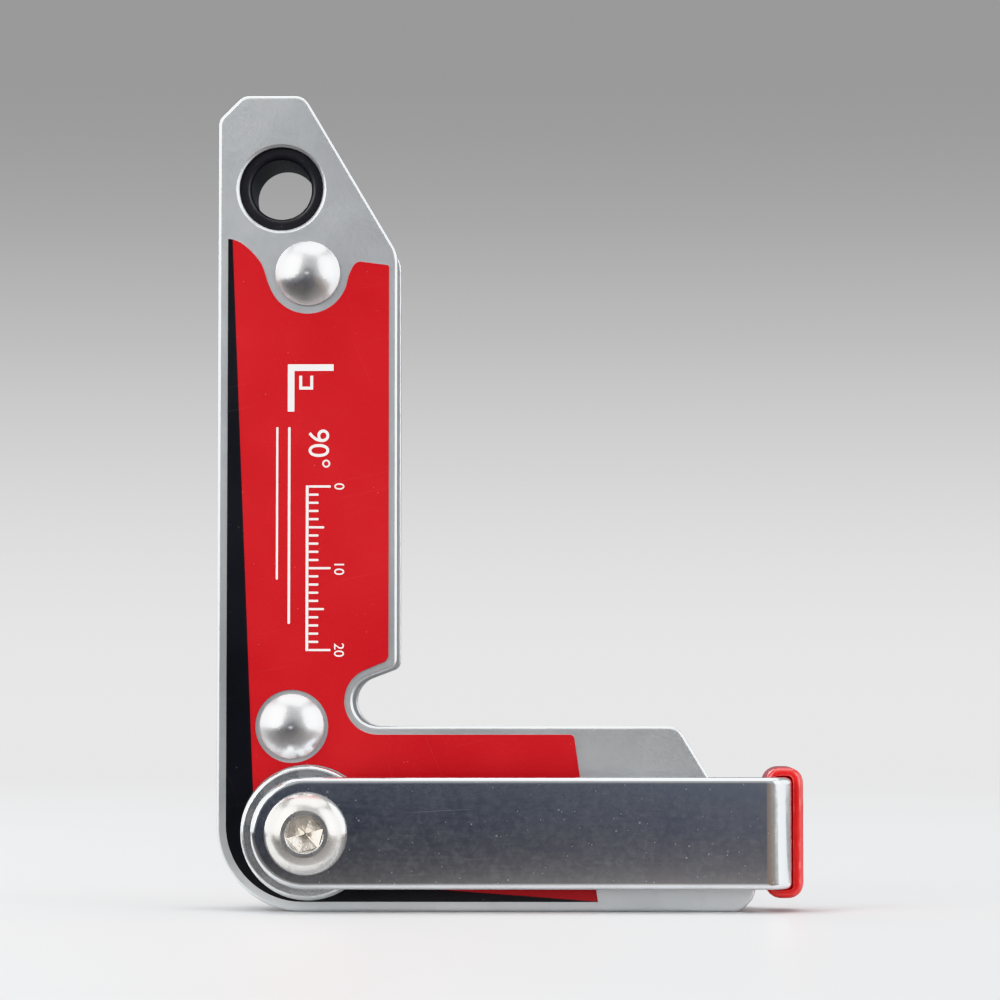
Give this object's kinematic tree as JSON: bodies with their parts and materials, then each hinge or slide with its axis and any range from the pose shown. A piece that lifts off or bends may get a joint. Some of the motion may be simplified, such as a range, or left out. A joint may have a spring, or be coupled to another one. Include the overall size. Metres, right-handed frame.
{
  "type": "welding magnet holder",
  "caption": "Flat L-shaped 90 degree welding magnet, two riveted steel pole plates over a magnet core, with a swinging release lever and vinyl-capped tip.",
  "frame": {"origin": "the square corner: where the planes of the two outer working edges meet, at the middle of the laminated thickness", "axes": "+X along the short leg, +Z along the long leg, -Y towards the face that carries the release lever"},
  "size_m": [0.0716, 0.0296, 0.1],
  "materials": {
    "plate_steel": "satin zinc plating",
    "core_cast": "rough cast",
    "magnet_block": "nickel plated",
    "rivet_steel": "bright nickel",
    "lever_steel": "polished plating",
    "screw_steel": "bright nickel",
    "hardware_steel": "zinc plated",
    "bush_plastic": "moulded",
    "insert_nylon": "nylon",
    "label_vinyl": "printed vinyl, red with a black border",
    "grip_vinyl": "dipped vinyl"
  },
  "bodies": {
    "magnet": {"front_plate": "plate_steel", "rear_plate": "plate_steel", "core_frame": "core_cast", "long_leg_magnet_lower": "magnet_block", "long_leg_magnet_upper": "magnet_block", "short_leg_magnet": "magnet_block", "corner_rivet": "rivet_steel", "long_leg_rivet": "rivet_steel", "short_leg_rivet": "rivet_steel", "hang_hole_bush": "bush_plastic", "front_label": "label_vinyl", "rear_label": "label_vinyl", "pivot_spacer": "hardware_steel", "pivot_sleeve": "hardware_steel", "pivot_screw": "screw_steel", "pivot_washer": "hardware_steel", "pivot_nut": "hardware_steel", "nut_insert": "insert_nylon"},
    "lever": {"lever_arm": "lever_steel", "lever_grip": "grip_vinyl"}
  },
  "joints": [
    {"name": "lever_swing", "type": "hinge", "parent": "magnet", "child": "lever", "pos_m": [0.0112, 0, 0.0096], "axis": [0, 1, 0], "range_deg": [-68, 248]}
  ]
}
